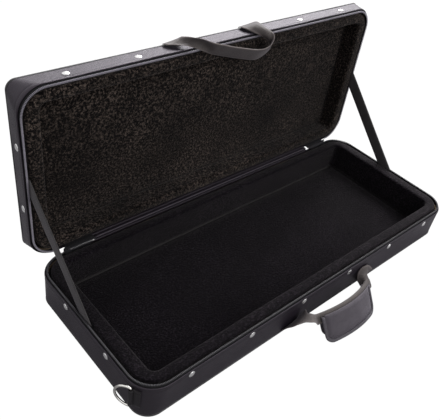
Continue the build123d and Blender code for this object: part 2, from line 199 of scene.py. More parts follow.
@dataclass(frozen=True)
class ClothFinish:
    """Woven cloth or webbing, whose threads follow the piece's UV map in metres.

    Attributes:
        colour: The threads' own colour.
        thread: The pitch of the threads.
        weave: How they cross.
        edge_lift: How much lighter the two selvedges are.
        width: The webbing's width, where it has selvedges.
    """

    name: str
    colour: Colour
    thread: float
    weave: Weave = Weave.PLAIN
    roughness: float = 0.6
    sheen: float = 0.25
    sheen_tint: Colour = (0.75, 0.72, 0.8)
    gloss_tint: Colour = (1.0, 1.0, 1.0)
    relief: float = 0.12 * MM
    specular: float = 0.35
    edge_lift: float = 0.0
    width: float = 0.0

    def build(self) -> Material:
        """Makes the material."""
        t = NodeTable(bpy.data.materials.new(self.name))
        uv = t.node("UVMap", {"uv_map": "UVMap"}).outputs[0]
        split = t.node("SeparateXYZ", Vector=uv)
        turn = math.pi / self.thread
        warp = t.sum("SINE", t.sum("MULTIPLY", split.outputs[0], turn))
        weft = t.sum("SINE", t.sum("MULTIPLY", split.outputs[1], turn / self.weave.value))
        over = t.ramp(t.sum("MULTIPLY", warp, weft), -0.3, 0.3)
        lift = t.sum("ADD", t.sum("MULTIPLY", over, t.sum("ABSOLUTE", warp)),
                     t.sum("MULTIPLY", t.sum("SUBTRACT", 1.0, over), t.sum("ABSOLUTE", weft)))
        blotch = t.cloud(38.0, 4.0, 0.6)
        fuzz = t.cloud(900.0, 2.0, 0.7)
        light = tinted(self.colour, 1.3, 0.004)
        colour = t.mix(t.ramp(lift, 0.1, 0.9), tinted(self.colour, 0.62), self.colour)
        colour = t.mix(t.sum("MULTIPLY", t.ramp(blotch, 0.45, 0.75), 0.6), colour, light)
        colour = t.mix(t.sum("MULTIPLY", t.ramp(fuzz, 0.55, 0.8), 0.5), colour, light)
        if self.edge_lift:
            off = t.sum("ABSOLUTE", t.sum("SUBTRACT", split.outputs[0], self.width / 2))
            edge = t.ramp(off, self.width * 0.40, self.width * 0.49)
            colour = t.mix(edge, colour, tinted(self.colour, self.edge_lift))
        normal = t.bump(blotch, 0.5 * MM)
        normal = t.bump(lift, self.relief, normal)
        return t.shade(colour, Roughness=self.roughness, Normal=normal, Sheen_Weight=self.sheen,
                       Sheen_Roughness=0.45, Sheen_Tint=(*self.sheen_tint, 1.0),
                       Specular_IOR_Level=self.specular, Specular_Tint=(*self.gloss_tint, 1.0))


@dataclass(frozen=True)
class PlushFinish:
    """Short looped pile: dark tufts with paler tips."""

    name: str
    dark: Colour
    pale: Colour
    tuft: float

    def build(self) -> Material:
        """Makes the material."""
        t = NodeTable(bpy.data.materials.new(self.name))
        tufts = t.cloud(1.0 / self.tuft, 3.0, 0.65)
        pile = t.cloud(4.0 / self.tuft, 2.0, 0.7)
        drift = t.cloud(9.0, 3.0, 0.55)
        tips = t.ramp(t.sum("ADD", t.sum("MULTIPLY", tufts, 0.7), t.sum("MULTIPLY", pile, 0.3)), 0.5, 0.66)
        tips = t.sum("MULTIPLY", tips, t.ramp(drift, 0.15, 0.7))
        colour = t.mix(tips, self.dark, self.pale)
        normal = t.bump(tufts, 1.2 * MM)
        normal = t.bump(pile, 0.5 * MM, normal)
        return t.shade(colour, Roughness=0.95, Normal=normal, Sheen_Weight=0.18, Sheen_Roughness=0.4,
                       Sheen_Tint=(0.8, 0.76, 0.74, 1.0), Specular_IOR_Level=0.1)


@dataclass(frozen=True)
class MetalFinish:
    """Plated or painted metal, with fine rubbing marks."""

    name: str
    colour: Colour
    metallic: float
    roughness: float

    def build(self) -> Material:
        """Makes the material."""
        t = NodeTable(bpy.data.materials.new(self.name))
        rub = t.cloud(700.0, 5.0, 0.7)
        worn = t.ramp(t.cloud(160.0, 3.0, 0.6), 0.4, 0.7)
        rough = t.sum("ADD", self.roughness, t.sum("MULTIPLY", rub, 0.12))
        return t.shade(t.mix(worn, self.colour, tinted(self.colour, 0.8)), Metallic=self.metallic, Roughness=rough,
                       Normal=t.bump(rub, 0.03 * MM))


@dataclass(frozen=True)
class MouldedFinish:
    """Plastic, vinyl or pressed board with a fine grain."""

    name: str
    colour: Colour
    roughness: float
    grain: float = 0.8 * MM
    relief: float = 0.05 * MM

    def build(self) -> Material:
        """Makes the material."""
        t = NodeTable(bpy.data.materials.new(self.name))
        grain = t.cloud(1.0 / self.grain, 3.0, 0.6)
        worn = t.ramp(t.cloud(45.0, 3.0, 0.6), 0.35, 0.8)
        rough = t.sum("ADD", self.roughness, t.sum("MULTIPLY", grain, 0.2))
        return t.shade(t.mix(worn, self.colour, tinted(self.colour, 0.72)), Roughness=rough,
                       Normal=t.bump(grain, self.relief))


class FinishShelf:
    """The case's finishes, each built once."""

    def __init__(self) -> None:
        """Builds them all."""
        self.nylon = ClothFinish("nylon_cover", (0.0062, 0.0044, 0.006), 0.9 * MM, roughness=0.42,
                                 sheen=0.06, sheen_tint=(0.74, 0.62, 0.9),
                                 gloss_tint=(0.95, 0.84, 1.0), specular=0.6).build()
        self.stay = ClothFinish("stay_webbing", (0.085, 0.08, 0.078), 1.3 * MM, Weave.RIB, sheen=0.2).build()
        self.webbing = ClothFinish("handle_webbing", (0.108, 0.094, 0.088), 1.5 * MM, Weave.RIB, roughness=0.65,
                                   edge_lift=2.2, width=38 * MM).build()
        self.tab = ClothFinish("tab_webbing", (0.0085, 0.0066, 0.008), 1.4 * MM, Weave.RIB, sheen=0.1).build()
        self.grip = ClothFinish("grip_fabric", (0.108, 0.096, 0.112), 0.8 * MM, roughness=0.6, sheen=0.35).build()
        self.binding = ClothFinish("grip_binding", (0.13, 0.12, 0.135), 1.1 * MM, Weave.RIB, sheen=0.3).build()
        self.tape = ClothFinish("zip_tape", (0.012, 0.012, 0.013), 0.7 * MM, sheen=0.1, specular=0.2).build()
        self.plush = PlushFinish("plush", (0.0016, 0.0012, 0.0012), (0.23, 0.18, 0.148), 3.6 * MM).build()
        self.rim_plush = PlushFinish("rim_plush", (0.003, 0.0022, 0.0035), (0.045, 0.036, 0.046), 3.2 * MM).build()
        self.fastener = PlushFinish("grip_fastener", (0.004, 0.004, 0.004), (0.03, 0.03, 0.03), 1.2 * MM).build()
        # The zip coil is one moulding in two copies. This darker one, used on the base and the zip tails, is painted
        # shade. The paler one below is a painted highlight over the whole of the lid's coil, standing in for its run
        # lit from above.
        self.coil = MouldedFinish("zip_coil", (0.07, 0.067, 0.074), 0.35).build()
        self.painted_highlight_coil = MouldedFinish("painted_highlight_zip_coil", (0.42, 0.4, 0.45), 0.35).build()
        self.piping = MouldedFinish("piping", (0.05, 0.047, 0.05), 0.38, 0.9 * MM).build()
        self.thread = MouldedFinish("stitching", (0.035, 0.033, 0.036), 0.6, 0.4 * MM).build()
        self.pale_thread = MouldedFinish("pale_stitching", (0.16, 0.15, 0.165), 0.6, 0.4 * MM).build()
        self.board = MouldedFinish("fibre_board", (0.23, 0.17, 0.11), 0.75, 1.4 * MM, 0.1 * MM).build()
        self.chrome = MetalFinish("rivet_metal", (0.97, 0.96, 0.96), 0.8, 0.12).build()
        self.ring = MetalFinish("ring_metal", (0.92, 0.9, 0.86), 1.0, 0.13).build()
        self.slider = MetalFinish("slider_metal", (0.07, 0.07, 0.075), 0.6, 0.32).build()


# --- mesh work


def baked(name: str, bm: BMesh) -> Mesh:
    """A mesh made from a bmesh, which is freed."""
    mesh = bpy.data.meshes.new(name)
    bm.to_mesh(mesh)
    bm.free()
    return mesh


def shown(name: str, data: ID) -> Object:
    """A new object in the scene."""
    made = bpy.data.objects.new(name, data)
    bpy.context.scene.collection.objects.link(made)
    return made


class Loft:
    """A skin pulled ring by ring with the extrude operator, with a UV map in metres."""

    def __init__(self, points: Sequence[Vector]) -> None:
        """Starts from a first ring, whose last point joins the first."""
        self.bm = bmesh.new()
        self.first = [self.bm.verts.new(p) for p in points]
        self.first_edges = [self.bm.edges.new(pair) for pair in zip(self.first, self.first[1:] + self.first[:1])]
        self.edges, self.front = self.first_edges, self.first
        self.mark = {v: (i, 0) for i, v in enumerate(self.first)}
        self.across, self.along = [0.0], [0.0]
        for near, far in zip(points, [*points[1:], points[0]]):
            self.across.append(self.across[-1] + (Vector(far) - Vector(near)).length)

    @classmethod
    def through(cls, rings: Sequence[Sequence[Vector]], joined: bool = False, capped: bool = True,
                sideways: bool = False) -> "Loft":
        """A skin through rings, with its UV map.

        Args:
            rings: The rings, all with the same count of points.
            joined: Whether the last ring joins the first.
            capped: Whether both end rings are filled.
            sideways: Whether the UV map's two directions change places.

        Returns:
            The skin.
        """
        loft = cls(rings[0])
        for ring in rings[1:]:
            loft.grow(ring)
        if joined:
            bmesh.ops.bridge_loops(loft.bm, edges=loft.first_edges + loft.edges)
        elif capped:
            loft.cap()
        loft.lay_uv(sideways)
        return loft

    def grow(self, points: Sequence[Vector]) -> None:
        """Extrudes the last ring and moves the new one to these points."""
        made = bmesh.ops.extrude_edge_only(self.bm, edges=self.edges)["geom"]
        fresh = [g for g in made if isinstance(g, BMVert)]
        place = {v: i for i, v in enumerate(self.front)}
        ring: list[Optional[BMVert]] = [None] * len(self.front)
        for vert in fresh:
            for edge in vert.link_edges:
                other = edge.other_vert(vert)
                if other in place:
                    ring[place[other]] = vert
        step = max((Vector(points[i]) - ring[i].co).length for i in (0, len(points) // 3, 2 * len(points) // 3))
        self.along.append(self.along[-1] + step)
        for i, vert in enumerate(ring):
            vert.co = points[i]
            self.mark[vert] = (i, len(self.along) - 1)
        wanted = set(fresh)
        self.edges = [g for g in made if isinstance(g, BMEdge) and set(g.verts) <= wanted]
        self.front = ring

    def cap(self) -> None:
        """Fills the first ring and the last."""
        for ring in (self.first, self.front):
            self.bm.faces.new(ring)

    def lay_uv(self, sideways: bool = False) -> None:
        """Writes the UV map: along the ring, then along the growth, or the other way about."""
        layer = self.bm.loops.layers.uv.new("UVMap")
        last = len(self.first) - 1
        for face in self.bm.faces:
            marks = [self.mark.get(v, (0, 0)) for v in face.verts]
            wraps = any(m[0] == last for m in marks) and any(m[0] == 0 for m in marks)
            top = len(self.along) - 1
            folds = {m[1] for m in marks} == {0, top} and top > 1
            for loop, (i, j) in zip(face.loops, marks):
                u = self.across[last + 1] if wraps and i == 0 else self.across[i]
                v = self.along[-1] + MM if folds and j == 0 else self.along[j]
                loop[layer].uv = (v, u) if sideways else (u, v)


@dataclass
class Piece:
    """What a finished mesh needs to join the case.

    Attributes:
        name: The piece's own name.
        material: Its finish.
        slot: The record's slot that the finish stands for. It is not used.
        body: The body that it rides on.
        replaces: The CAD nodes that it stands for.
    """

    name: str
    material: Material
    slot: str
    body: str
    replaces: tuple[str, ...] = ()

    def make(self, bm: BMesh, smooth: bool = True, rides: bool = True) -> Object:
        """Turns a bmesh into the piece.

        Args:
            bm: The mesh, in the frame's axes. It is freed.
            smooth: Whether its faces are shaded smooth.
            rides: Whether it rides on its body at once.

        Returns:
            The new object.
        """
        bmesh.ops.remove_doubles(bm, verts=bm.verts, dist=TINY)
        bmesh.ops.recalc_face_normals(bm, faces=bm.faces)
        for face in bm.faces:
            face.smooth = smooth
        mesh = baked(self.name, bm)
        mesh.materials.append(self.material)
        piece = shown(self.name, mesh)
        if self.replaces:
            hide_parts(*self.replaces)
        if rides:
            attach(piece, self.body)
        log.info("%s: %d faces on %s", self.name, len(mesh.polygons), self.body)
        return piece


def copies(seed: BMesh, places: Sequence[Matrix], onto: Optional[BMesh] = None) -> BMesh:
    """Copies a seed mesh to each place.

    Args:
        seed: The mesh to copy. It is freed.
        places: Where the copies go.
        onto: The bmesh that gains them, or None for a new one.

    Returns:
        The bmesh with the copies.
    """
    mesh = baked("seed", seed)
    bm = bmesh.new() if onto is None else onto
    for place in places:
        start = len(bm.verts)
        bm.from_mesh(mesh)
        bm.verts.ensure_lookup_table()
        bmesh.ops.transform(bm, matrix=place, verts=bm.verts[start:])
    bpy.data.meshes.remove(mesh)
    return bm


def stitch_seed(length: float, width: float) -> BMesh:
    """One stitch of thread, along X, that bows a little out of the cloth."""
    bm = bmesh.new()
    bmesh.ops.create_uvsphere(bm, u_segments=6, v_segments=4, radius=0.5)
    bmesh.ops.rotate(bm, verts=bm.verts, matrix=Matrix.Rotation(math.pi / 2, 3, "Y"))
    bmesh.ops.scale(bm, verts=bm.verts, vec=(length, width, width * 0.7))
    return bm


def tooth_seed() -> BMesh:
    """One tooth of the zip's coil: its length along Y, its depth along Z."""
    bm = bmesh.new()
    bmesh.ops.create_cube(bm, size=1.0)
    bmesh.ops.scale(bm, verts=bm.verts, vec=(1.35 * MM, 2.3 * MM, 3.0 * MM))
    bmesh.ops.bevel(bm, geom=bm.edges[:], offset=0.4 * MM, segments=1, profile=0.5, material=-1, affect="EDGES")
    return bm


def squared(way: Vector, along: Vector) -> Vector:
    """A direction turned square to another, whose length is 1."""
    return (way - along * way.dot(along)).normalized()


def facing(origin: Vector, along: Vector, out: Vector) -> Matrix:
    """A place whose X runs along and whose Z points out of the surface."""
    x = along.normalized()
    z = squared(out, x)
    y = z.cross(x)
    return Matrix(((x.x, y.x, z.x, origin.x), (x.y, y.y, z.y, origin.y), (x.z, y.z, z.z, origin.z), (0, 0, 0, 1)))


def beside(line: Sequence[Vector], gap: float) -> list[Vector]:
    """The points of a level line, each moved a gap to the line's right."""
    moved = []
    for i, point in enumerate(line):
        along = (line[min(i + 1, len(line) - 1)] - line[max(i - 1, 0)]).normalized()
        moved.append(point + Vector((along.y, -along.x, 0)) * gap)
    return moved


def turned(angle: float) -> Vector:
    """The level direction at an angle from X."""
    return Vector((math.cos(angle), math.sin(angle), 0))


def eased(share: float) -> float:
    """A share from 0 to 1 that starts and ends gently."""
    share = min(1.0, max(0.0, share))
    return share * share * (3 - 2 * share)


def hermite(t: float) -> tuple[float, float, float, float]:
    """A curve's weights at a share of its way: its start and the slope there, its end and the slope there."""
    return 2 * t ** 3 - 3 * t ** 2 + 1, t ** 3 - 2 * t ** 2 + t, 3 * t ** 2 - 2 * t ** 3, t ** 3 - t ** 2


# --- trays


@dataclass(frozen=True)
class Band:
    """A rounded rectangle at one height of a tray."""

    z: float
    half_x: float
    half_y: float
    radius: float


@dataclass(frozen=True)
class Grid:
    """How many points each stretch of a tray's ring has."""

    corner: int = 14
    long_side: int = 72
    short_side: int = 28


@dataclass
class TrayForm:
    """Sizes and place of one half of the case, drawn with its rim plane at z = 0 and its panel below.

    Attributes:
        key: The name of its body.
        panel: What its flat outer side is called.
        pad: The thickness of the pad on the cavity's floor.
        rivet_drop: How far below the rim the rivets sit.
        hinge_side: Which way of its own Y the hinge lies.
        zip_end: How far out from the middle the zip ends, beside the hinge.
        draft: How much further in the wall stands at the panel than at the rim.
        shell: The thickness of the wall with its cloth.
    """

    key: str
    panel: str
    depth: float
    panel_radius: float
    pad: float
    rivet_drop: float
    hinge_side: int
    zip_end: float
    place: Matrix
    length: float = 776 * MM
    width: float = 306 * MM
    rim_radius: float = 46 * MM
    draft: float = 3 * MM
    cavity_x: float = 356 * MM
    cavity_y: float = 125 * MM
    cavity_radius: float = 12 * MM
    rivet_pitch_long: float = 122 * MM
    rivet_pitch_short: float = 112 * MM
    shell: float = 5.2 * MM
    grid: Grid = Grid()

    @property
    def floor(self) -> float:
        """Height of the pad's underside."""
        return -self.depth + self.shell

    def band(self, z: float, inset: float) -> Band:
        """The drafted wall's outline at a height, moved inwards by inset."""
        share = -z / self.depth
        back = self.draft * share + inset
        radius = self.rim_radius + (self.panel_radius - self.rim_radius) * share - inset
        return Band(z, self.length / 2 - back, self.width / 2 - back, max(radius, LEAST_RADIUS))

    def upright(self, z: float, inset: float) -> Band:
        """The rim's outline without draft, moved inwards by inset."""
        return replace(self.band(0.0, inset), z=z)

    def cavity(self, z: float, back: float) -> Band:
        """The cavity's outline, moved outwards by back."""
        return Band(z, self.cavity_x + back, self.cavity_y + back, max(self.cavity_radius + back, LEAST_RADIUS))

    def ring(self, band: Band) -> list[tuple[Vector, Vector]]:
        """Points of a band with the direction straight out of each, in the tray's own axes."""
        found = []
        counts = (self.grid.long_side, self.grid.short_side)
        for turn, (sx, sy) in enumerate(((1, 1), (-1, 1), (-1, -1), (1, -1))):
            x, y = sx * (band.half_x - band.radius), sy * (band.half_y - band.radius)
            for i in range(self.grid.corner + 1):
                out = turned(math.radians(90 * (turn + i / self.grid.corner)))
                found.append((Vector((x, y, band.z)) + out * band.radius, out))
            out = found[-1][1]
            nx, ny = ((-sx, sy), (sx, -sy))[turn % 2]
            far = Vector((nx * (band.half_x - band.radius), ny * (band.half_y - band.radius), band.z))
            far += out * band.radius
            near = found[-1][0]
            count = counts[turn % 2]
            found += [(near.lerp(far, i / count), out) for i in range(1, count)]
        return found

    def points(self, band: Band, push: Optional[Callable[[Vector], float]] = None) -> list[Vector]:
        """A band's points in the frame's axes, each pushed out by what push says."""
        return [self.place @ (point + out * push(point) if push else point) for point, out in self.ring(band)]

    def walk(self, band: Band, pitch: float) -> list[tuple[Vector, Vector, Vector]]:
        """Evenly spaced places round a band: point, direction along and direction out, in the frame's axes."""
        ring = self.ring(band)
        ring.append(ring[0])
        spans = [(b[0] - a[0]).length for a, b in zip(ring, ring[1:])]
        total = sum(spans)
        count = round(total / pitch)
        places, done, i = [], 0.0, 0
        turn = self.place.to_3x3()
        for k in range(count):
            want = (k + 0.5) * total / count
            while done + spans[i] < want:
                done += spans[i]
                i += 1
            near, far = ring[i], ring[i + 1]
            share = (want - done) / spans[i]
            point = near[0].lerp(far[0], share)
            out = near[1].lerp(far[1], share).normalized()
            places.append((self.place @ point, turn @ (far[0] - near[0]).normalized(), turn @ out))
        return places

    def rivet_places(self) -> list[tuple[Vector, Vector]]:
        """Where the rivets sit on the wall: point and direction out, in the tray's own axes."""
        back = self.draft * self.rivet_drop / self.depth
        lean = math.atan2(self.draft, self.depth)
        level, down = math.cos(lean), -math.sin(lean)
        places = []
        for side in (1, -1):
            reach_x, reach_y = side * (self.length / 2 - back), side * (self.width / 2 - back)
            for i in range(6):
                spot = Vector(((i - 2.5) * self.rivet_pitch_long, reach_y, -self.rivet_drop))
                places.append((spot, Vector((0, side * level, down))))
            for i in range(2):
                spot = Vector((reach_x, (i - 0.5) * self.rivet_pitch_short, -self.rivet_drop))
                places.append((spot, Vector((side * level, 0, down))))
        return places


class TrayLooks:
    """Builds one tray's cloth, piping, foam, zip and rivets."""

    def __init__(self, form: TrayForm, shelf: FinishShelf) -> None:
        """Takes the tray's form and the finishes."""
        self.form = form
        self.shelf = shelf
        self.rivets = form.rivet_places()
        base = form.key == "base"
        # The lid's coil takes the paler copy, a painted highlight. The base's coil takes the darker copy, painted
        # shade.
        self.plush, self.coil = (shelf.rim_plush, shelf.coil) if base else (shelf.plush, shelf.painted_highlight_coil)

    def add(self, tail: str, finish: Material, slot: str, bm: BMesh, node: str = "", smooth: bool = True) -> Object:
        """Makes one of the tray's pieces.

        Args:
            tail: What follows the tray's key in its name.
            finish: Its finish.
            slot: The record's slot for that finish.
            bm: Its mesh.
            node: What follows the tray's key in the name of the CAD node it stands for, if any.
            smooth: Whether its faces are shaded smooth.

        Returns:
            The piece.
        """
        key = self.form.key
        return Piece(key + tail, finish, slot, key, (key + node,) if node else ()).make(bm, smooth)

    def skin(self, bands: Sequence[Band], push: Optional[Callable] = None, closed: bool = True) -> Loft:
        """A skin through bands, closed on itself or left open."""
        return Loft.through([self.form.points(band, push) for band in bands], joined=closed, capped=False)

    def slack(self, point: Vector) -> float:
        """How far the wall's cloth stands off its board: puffed between the rivets, pulled in at each."""
        f = self.form
        height = -point.z / f.depth
        held = eased((1 - height) / 0.18) * eased(height / 0.16)
        dent, dent_width, dent_reach = 0.9 * MM, 15 * MM, 50 * MM
        wave = noise.noise(point * 11.0 + Vector((0, 0, 3.0 * f.hinge_side)))
        fine = noise.noise(point * 42.0)
        puff = (0.75 + 0.9 * wave + 0.25 * fine) * MM * held
        for place, _ in self.rivets:
            gap = (place - point).length
            if gap < dent_reach:
                puff -= dent * math.exp(-((gap / dent_width) ** 2)) * held
        return puff

    def cover(self) -> None:
        """The sewn nylon wall, with a turned hem under the zip."""
        f = self.form
        low, hem, steps = -f.depth + 3.4 * MM, -12.5 * MM, 12
        rows = [(low, 2.4), (low + 0.5 * MM, 0.9), (low + 1.6 * MM, 0.2)]
        rows += [(low + 3 * MM + (hem - low - 3 * MM) * i / steps, 0.0) for i in range(steps + 1)]
        rows += [(hem + 0.8 * MM, 0.35), (hem + 1.6 * MM, 0.0), (hem + 4 * MM, -0.5), (-6.4 * MM, -0.45),
                 (-5.3 * MM, 0.0), (-5.0 * MM, 0.7), (-5.4 * MM, 1.4), (-8 * MM, 1.6), (low + 1 * MM, 1.6)]
        loft = self.skin([f.band(z, inset * MM) for z, inset in rows], self.slack)
        self.add("_cover_cloth", self.shelf.nylon, "nylon_cover", loft.bm, "_cover")
        self.stitches("_hem_stitches", f.band(-10.4 * MM, -0.75 * MM))

    def stitches(self, tail: str, band: Band, pitch: float = 3.6 * MM) -> None:
        """A row of stitches round a band."""
        places = [facing(*place) for place in self.form.walk(band, pitch)]
        self.add(tail, self.shelf.thread, "nylon_cover", copies(stitch_seed(2.7 * MM, 0.7 * MM), places))

    def level_uv(self, loft: Loft) -> None:
        """Lays the UV of the tray's flat faces straight along the tray."""
        back = self.form.place.inverted()
        layer = loft.bm.loops.layers.uv["UVMap"]
        loft.bm.normal_update()
        for face in loft.bm.faces:
            if abs((back.to_3x3() @ face.normal).z) > 0.9:
                for loop in face.loops:
                    loop[layer].uv = (back @ loop.vert.co).xy

    def panel_cloth(self) -> None:
        """The flat nylon panel, softly crowned over its board."""
        f = self.form
        floor = -f.depth
        crown = 0.0 if f.key == "base" else 0.9 * MM
        flat, slope = 5, 60
        rows = [(floor + 2.0 * MM, 3.5), (floor + 0.9 * MM, 3.4), (floor + 0.25 * MM, 3.8), (floor, 5.0)]
        bands = [f.band(z, inset * MM) for z, inset in rows]
        for inset in (9, 16, 28, 48, 75, 105, 130, 148):
            bands.append(replace(f.band(floor, inset * MM), z=floor - crown * eased((inset - flat) / slope)))
        loft = self.skin(bands, closed=False)
        loft.cap()
        self.level_uv(loft)
        name = f.panel + "_cover"
        Piece(name + "_cloth", self.shelf.nylon, "nylon_cover", f.key, (name,)).make(loft.bm)

    def piping(self) -> None:
        """The corded edge round the panel, with its stitched lip."""
        f = self.form
        radius, centre = 1.95, -f.depth + 2.35 * MM
        bands = [f.band(centre + radius * MM * math.sin(a), (0.9 - radius * math.cos(a)) * MM)
                 for a in (2 * math.pi * i / 12 for i in range(12))]
        self.add("_piping_cord", self.shelf.piping, "piping", self.skin(bands).bm, "_piping")
        self.stitches("_piping_stitches", f.band(-f.depth + 5.6 * MM, -0.3 * MM), 4 * MM)

    def pile(self, point: Vector) -> float:
        """Slow unevenness of the plush over its foam."""
        return 0.8 * MM * noise.noise(point * 14.0) + 0.35 * MM * noise.noise(point * 60.0)

    def foam(self) -> None:
        """The plush-covered foam frame: rebated outside, rounded over the rim, straight down inside."""
        f = self.form
        low, high, edge, back, rows = f.floor + f.pad + 0.1 * MM, -0.5 * MM, 4.5 * MM, 8.8 * MM, 7
        turns = [(math.sin(a), math.cos(a)) for a in (math.radians(90 * i / 5) for i in range(6))]
        bands = [f.band(low, f.shell), f.band(-13.5 * MM, f.shell), f.upright(-12.6 * MM, 6.4 * MM),
                 f.upright(-12.2 * MM, 8.6 * MM), f.upright(-8 * MM, back)]
        bands += [f.upright(high - edge * (1 - sine), back + edge * (1 - cosine)) for sine, cosine in turns]
        outer, inner = bands[-1], f.cavity(high, edge)
        for share in (0.2, 0.4, 0.6, 0.8):
            sizes = (a + (b - a) * share for a, b in zip(astuple(outer)[1:], astuple(inner)[1:]))
            bands.append(Band(high + (0.5 * math.sin(math.pi * share) - 0.1) * MM, *sizes))
        bands += [f.cavity(high - edge * (1 - cosine), edge * (1 - sine) + 0.2 * MM) for sine, cosine in turns]
        bands += [f.cavity(high - edge + (low - high + edge) * i / rows, 0.2 * MM) for i in range(1, rows + 1)]
        loft = self.skin(bands, self.pile)
        self.add("_foam_plush", self.plush, "plush", loft.bm, "_foam_frame")

    def pad_plush(self) -> None:
        """The plush floor of the cavity, tucked under the frame and crowned in the middle."""
        f = self.form
        top = f.floor + f.pad
        rows = [f.band(f.floor + 0.2 * MM, 5.4 * MM), f.band(top - 0.2 * MM, 5.4 * MM)]
        for back in (3.0, 0.0, -2.0, -5.0, -10.0, -18.0, -30.0, -48.0, -70.0, -95.0):
            rise = 0.8 * MM * eased(-back / 14) - (0.5 * MM if back > -3 else 0.0)
            rows.append(f.cavity(top + rise, back * MM))
        loft = self.skin(rows, self.pile, closed=False)
        loft.cap()
        self.add("_pad_plush", self.plush, "plush", loft.bm, "_pad")

    def has_zip(self, point: Vector) -> bool:
        """Whether the zip passes here: everywhere but the hinge's stretch of the back edge."""
        f, hem = self.form, 20 * MM
        local = f.place.inverted() @ point
        return local.y * f.hinge_side < f.width / 2 - hem or abs(local.x) > f.zip_end

    def zip_tape(self) -> None:
        """The woven tape that carries the zip's teeth, with its hinge stretch taken out."""
        rows = [(-10.4, 2.0), (-10.4, 2.8), (-6.5, 2.9), (-3.2, 2.8), (-3.2, 1.9), (-6.5, 1.9)]
        loft = self.skin([self.form.band(z * MM, inset * MM) for z, inset in rows])
        gone = [face for face in loft.bm.faces if not self.has_zip(face.calc_center_median())]
        bmesh.ops.delete(loft.bm, geom=gone, context="FACES")
        bmesh.ops.holes_fill(loft.bm, edges=[e for e in loft.bm.edges if e.is_boundary], sides=0)
        self.add("_zip_tape_cloth", self.shelf.tape, "zip_tape", loft.bm, "_zip_tape")

    def zip_teeth(self) -> None:
        """The moulded coil, tooth by tooth, on the tape's edge."""
        walk = self.form.walk(self.form.band(-1.7 * MM, 3.4 * MM), TOOTH_PITCH)
        bm = copies(tooth_seed(), [facing(*place) for place in walk if self.has_zip(place[0])])
        self.add("_zip_teeth", self.coil, "zip_coil", bm, "_zip_coil", smooth=False)

    def rivet_heads(self) -> None:
        """Domed rivet heads with a rolled rim, each spun from one profile."""
        seed, seat, steps = bmesh.new(), 0.15 * MM, 20
        profile = [(0.0, 2.2), (2.2, 2.05), (4.0, 1.55), (5.2, 0.95), (5.85, 0.5), (6.0, 0.1), (5.7, -0.1), (0.0, -0.1)]
        verts = [seed.verts.new((x * MM, 0, z * MM)) for x, z in profile]
        edges = [seed.edges.new(pair) for pair in zip(verts, verts[1:])]
        bmesh.ops.spin(seed, geom=verts + edges, angle=2 * math.pi, steps=steps, axis=(0, 0, 1), use_merge=True)
        bmesh.ops.remove_doubles(seed, verts=seed.verts, dist=TINY)
        turn = self.form.place.to_3x3()
        places = []
        for point, out in self.rivets:
            origin = self.form.place @ (point + out * seat)
            normal = turn @ out
            places.append(facing(origin, normal.cross(turn @ Vector((0, 0, 1))), normal))
        self.add("_rivet_heads", self.shelf.chrome, "rivet_metal", copies(seed, places), "_rivets")

    def build(self) -> None:
        """Builds the whole tray."""
        for part in (self.cover, self.panel_cloth, self.piping, self.foam, self.pad_plush, self.zip_tape,
                     self.zip_teeth, self.rivet_heads):
            part()


# --- webbing


@dataclass(frozen=True)
class Station:
    """A place on a strip of webbing.

    Attributes:
        centre: The strip's middle, in millimetres.
        across: The direction across the strip.
        fold: How far it is folded along its length, in degrees: 0 is flat, 60 is a channel.
        along: The direction along the strip, where it isn't read from the neighbours.
    """

    centre: Point
    across: Point
    fold: float = 0.0
    along: Optional[Point] = None


@dataclass
class GripShape:
    """The bowed, leaning grip's own axes and its arc, in millimetres.

    Attributes:
        crown: The middle of its upper edge, in front.
        lean: How far it leans back, in degrees.
        length: Its length from end to end.
        bow: How far its middle stands before its ends.
        front_height: The front flap's height.
        back_height: The rear flap's height.
        drop: How far below the crown the flaps start.
        corner: The radius of the flaps' lower corners.
        crown_back: How far behind its front the webbing lies.
        crown_rise: How far above the crown the webbing's middle lies.
        web_fold: Half the width of the folded webbing's crown.
        web_thickness: The webbing's thickness.
        gap: The room between the webbing and a flap.
    """

    crown: Point = (14.0, -196.0, 51.0)
    lean: float = 32.0
    length: float = 134.0
    bow: float = 14.0
    front_height: float = 53.0
    back_height: float = 44.5
    drop: float = 1.5
    corner: float = 16.0
    crown_back: float = 4.0
    crown_rise: float = 3.0
    web_fold: float = 3.5
    web_thickness: float = 1.6
    gap: float = 0.8

    @property
    def radius(self) -> float:
        """Radius of the bow."""
        return ((self.length / 2) ** 2 + self.bow ** 2) / (2 * self.bow)

    @property
    def axes(self) -> tuple[Vector, Vector, Vector]:
        """The grip's own X, Y (back) and Z (up its face)."""
        lean = math.radians(self.lean)
        up = Vector((0, math.sin(lean), math.cos(lean)))
        across = Vector((1, 0, 0))
        return across, up.cross(across), up

    @property
    def faces(self) -> tuple[float, float]:
        """How far back the front and the rear flap's inner faces lie."""
        half = self.web_fold * math.cos(math.radians(30)) + self.web_thickness / 2 + self.gap
        return self.crown_back - half, self.crown_back + half

    def point(self, u: float, back: float, up: float) -> Vector:
        """A place on the bowed grip, in metres: u round the bow, back behind its front, up its face."""
        x_axis, y_axis, z_axis = self.axes
        angle = u / self.radius
        reach = self.radius - back
        local_x, local_y = reach * math.sin(angle), self.radius - reach * math.cos(angle)
        return (Vector(self.crown) + x_axis * local_x + y_axis * local_y + z_axis * up) * MM

    def outward(self, u: float) -> Vector:
        """The direction straight out of the grip's front face."""
        x_axis, y_axis, _ = self.axes
        angle = u / self.radius
        return x_axis * math.sin(angle) - y_axis * math.cos(angle)

    def station(self, u: float) -> Station:
        """A place on the crown where the webbing is folded between the flaps."""
        x_axis, y_axis, z_axis = self.axes
        back = self.radius - math.sqrt(self.radius ** 2 - u * u) + self.crown_back
        turn = math.asin(u / self.radius)
        centre = Vector(self.crown) + x_axis * u + y_axis * back + z_axis * self.crown_rise
        along = x_axis * math.cos(turn) + y_axis * math.sin(turn)
        return Station(tuple(centre), tuple(y_axis), CHANNEL_DEGREES, tuple(along))


